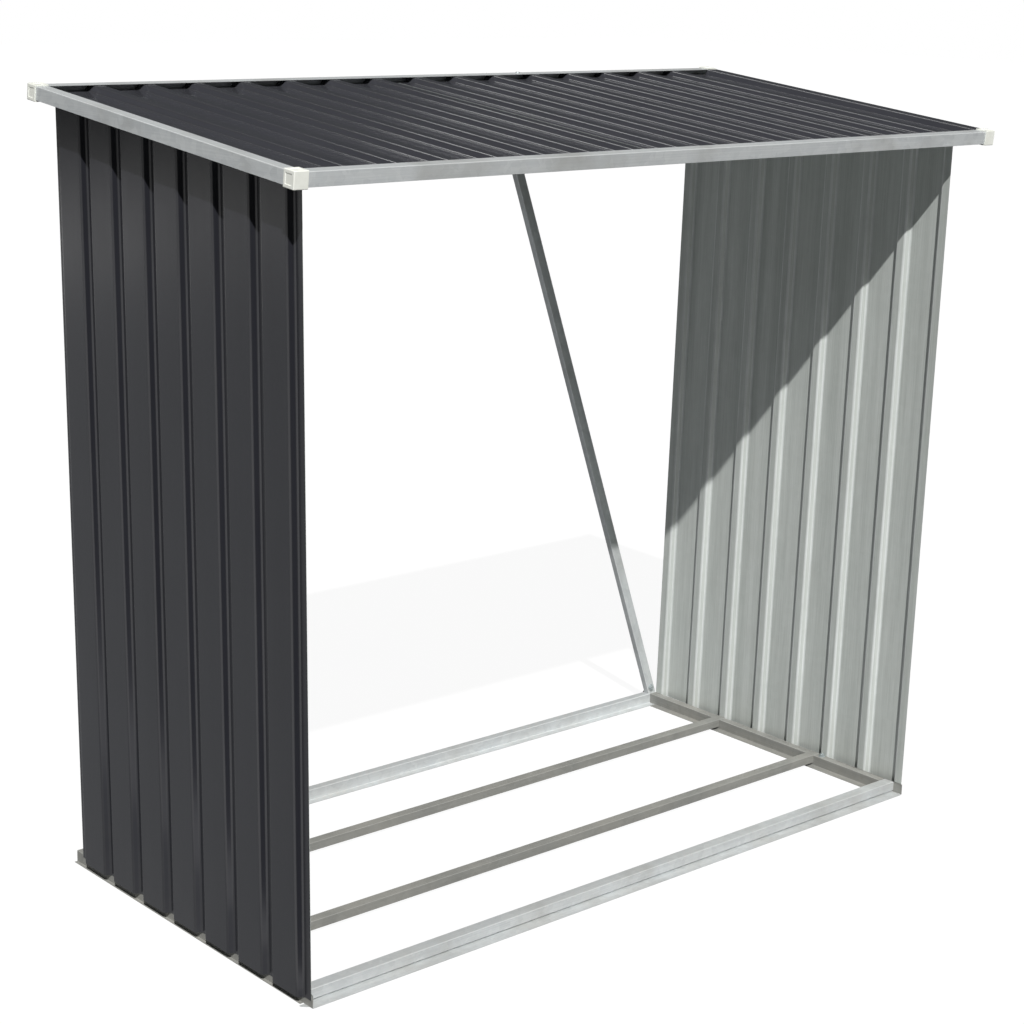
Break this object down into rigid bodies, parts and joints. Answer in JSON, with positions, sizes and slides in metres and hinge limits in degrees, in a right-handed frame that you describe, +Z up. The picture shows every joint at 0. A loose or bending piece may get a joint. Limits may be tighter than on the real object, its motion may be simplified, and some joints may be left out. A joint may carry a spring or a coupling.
{
  "type": "log store",
  "caption": "Open-fronted metal log store: ribbed sheet walls and lean-to roof on a galvanised base and roof frame, with diagonal back braces.",
  "frame": {"origin": "middle of the footprint of the whole store, on the ground", "axes": "+X along the store to the right seen from its open front, +Y from the front to the back, +Z up"},
  "size_m": [1.79, 0.8604, 1.5579],
  "materials": {
    "galvanised": "galvanised, satin with brushed streaks",
    "painted_sheet": "anthracite coil coating outside, bare galvanised inside",
    "white_plastic": "matt off-white"
  },
  "bodies": {
    "root": {"base_front_sill": "galvanised", "base_back_rail": "galvanised", "base_left_rail": "galvanised", "base_right_rail": "galvanised", "cross_rail_front": "galvanised", "cross_rail_back": "galvanised", "left_wall_sheet": "painted_sheet", "right_wall_sheet": "painted_sheet", "left_wall_angle": "galvanised", "right_wall_angle": "galvanised", "roof_front_channel": "galvanised", "roof_back_channel": "galvanised", "roof_left_channel": "galvanised", "roof_right_channel": "galvanised", "front_left_cap": "white_plastic", "front_right_cap": "white_plastic", "back_left_cap": "white_plastic", "back_right_cap": "white_plastic", "roof_sheet_left": "painted_sheet", "roof_sheet_right": "painted_sheet", "brace_left": "galvanised", "brace_right": "galvanised"}
  },
  "joints": []
}
